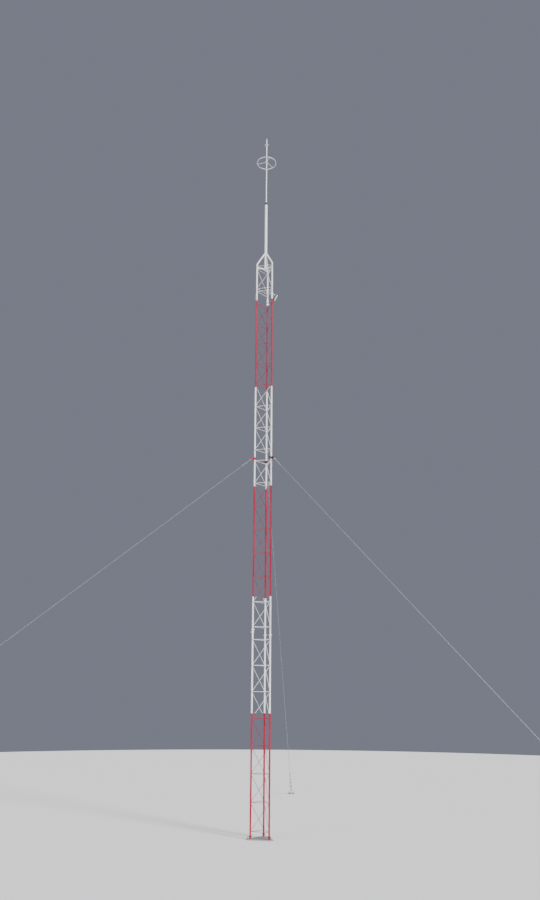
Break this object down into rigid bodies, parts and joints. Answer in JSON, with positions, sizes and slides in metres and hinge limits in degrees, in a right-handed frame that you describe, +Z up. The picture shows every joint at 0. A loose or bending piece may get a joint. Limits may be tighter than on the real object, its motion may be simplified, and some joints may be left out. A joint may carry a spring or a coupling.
{
  "type": "guyed lattice radio mast",
  "caption": "Slim triangular lattice radio mast in red and white bands, held by taut guys, with a pole and a ring-crowned lightning rod on top.",
  "frame": {"origin": "centre of the base plate's underside, on the mast's axis", "axes": "+Z up along the mast, -Y out of the front face between the left and right legs, +X to the right leg's side"},
  "size_m": [11.5092, 9.6663, 12.644],
  "materials": {
    "banded_paint": "weathered red and white paint in bands 1.8 m tall",
    "white_paint": "weathered white paint",
    "red_paint": "weathered red paint",
    "dark_paint": "dull dark paint",
    "galvanised_steel": "dull galvanised steel",
    "steel_cable": "galvanised strand",
    "black_plastic": "matt insulating plastic",
    "grey_plastic": "pale weathered plastic"
  },
  "bodies": {
    "root": {"base_plate": "galvanised_steel", "left_leg_lower": "banded_paint", "right_leg_lower": "banded_paint", "back_leg_lower": "banded_paint", "front_bracing_lower": "banded_paint", "right_bracing_lower": "banded_paint", "left_bracing_lower": "banded_paint", "left_leg_middle": "banded_paint", "right_leg_middle": "banded_paint", "back_leg_middle": "banded_paint", "front_bracing_middle": "banded_paint", "right_bracing_middle": "banded_paint", "left_bracing_middle": "banded_paint", "left_leg_upper": "banded_paint", "right_leg_upper": "banded_paint", "back_leg_upper": "banded_paint", "front_bracing_upper": "banded_paint", "right_bracing_upper": "banded_paint", "left_bracing_upper": "banded_paint", "left_top_leg": "white_paint", "right_top_leg": "white_paint", "back_top_leg": "white_paint", "front_bracing_top": "white_paint", "right_bracing_top": "white_paint", "left_bracing_top": "white_paint", "pole_seat": "white_paint", "pole": "white_paint", "coupling": "black_plastic", "lightning_rod": "galvanised_steel", "crown_ring": "galvanised_steel", "rod_tip": "galvanised_steel", "left_guy_bracket": "red_paint", "left_guy": "steel_cable", "left_turnbuckle": "galvanised_steel", "left_anchor": "galvanised_steel", "right_guy_bracket": "red_paint", "right_guy": "steel_cable", "right_turnbuckle": "galvanised_steel", "right_anchor": "galvanised_steel", "back_guy_bracket": "red_paint", "back_guy": "steel_cable", "back_turnbuckle": "galvanised_steel", "back_anchor": "galvanised_steel", "antenna_bracket": "dark_paint", "panel_antenna": "grey_plastic"}
  },
  "joints": []
}
